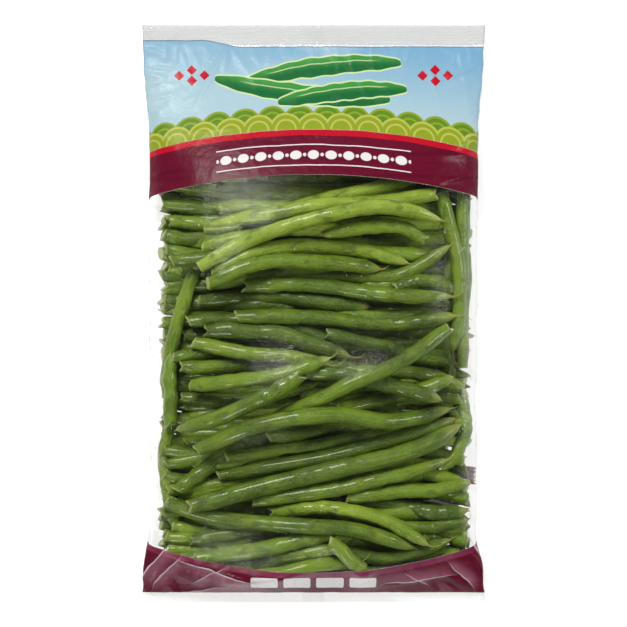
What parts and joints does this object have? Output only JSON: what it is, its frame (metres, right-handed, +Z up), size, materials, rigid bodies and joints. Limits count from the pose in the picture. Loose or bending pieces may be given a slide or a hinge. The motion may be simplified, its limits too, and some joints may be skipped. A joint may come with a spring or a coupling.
{
  "type": "bagged french bean bundle",
  "caption": "Clear pillow bag full of trimmed French beans, lying on its back: a thin film tube welded flat at both ends over a pile of long slim pods.",
  "frame": {"origin": "centre of the bag's bounding box at its base, on the table", "axes": "+X across the bag, +Y from its bottom weld to its top weld, +Z up out of its printed front"},
  "size_m": [0.189, 0.318, 0.0574],
  "materials": {
    "film": "clear glossy packing film, about 40 microns, printed in panels",
    "beans": "smooth waxy skin, mid to yellow green with darker blotches",
    "packed_beans": "smooth waxy skin, mid to dark green"
  },
  "bodies": {
    "root": {"bag_film": "film", "packed_beans": "packed_beans", "bean_01": "beans", "bean_02": "beans", "bean_03": "beans", "bean_04": "beans", "bean_05": "beans", "bean_06": "beans", "bean_07": "beans", "bean_08": "beans", "bean_09": "beans", "bean_10": "beans", "bean_11": "beans", "bean_12": "beans", "bean_13": "beans", "bean_14": "beans", "bean_15": "beans", "bean_16": "beans", "bean_17": "beans", "bean_18": "beans", "bean_19": "beans", "bean_20": "beans", "bean_21": "beans", "bean_22": "beans", "bean_23": "beans", "bean_24": "beans", "bean_25": "beans", "bean_26": "beans", "bean_27": "beans", "bean_28": "beans", "bean_29": "beans", "bean_30": "beans", "bean_31": "beans", "bean_32": "beans", "bean_33": "beans", "bean_34": "beans", "bean_35": "beans", "bean_36": "beans", "bean_37": "beans", "bean_38": "beans", "bean_39": "beans", "bean_40": "beans", "bean_41": "beans", "bean_42": "beans", "bean_43": "beans", "bean_44": "beans", "bean_45": "beans", "bean_46": "beans", "bean_47": "beans", "bean_48": "beans", "bean_49": "beans", "bean_50": "beans", "bean_51": "beans", "bean_52": "beans", "bean_53": "beans"}
  },
  "joints": []
}
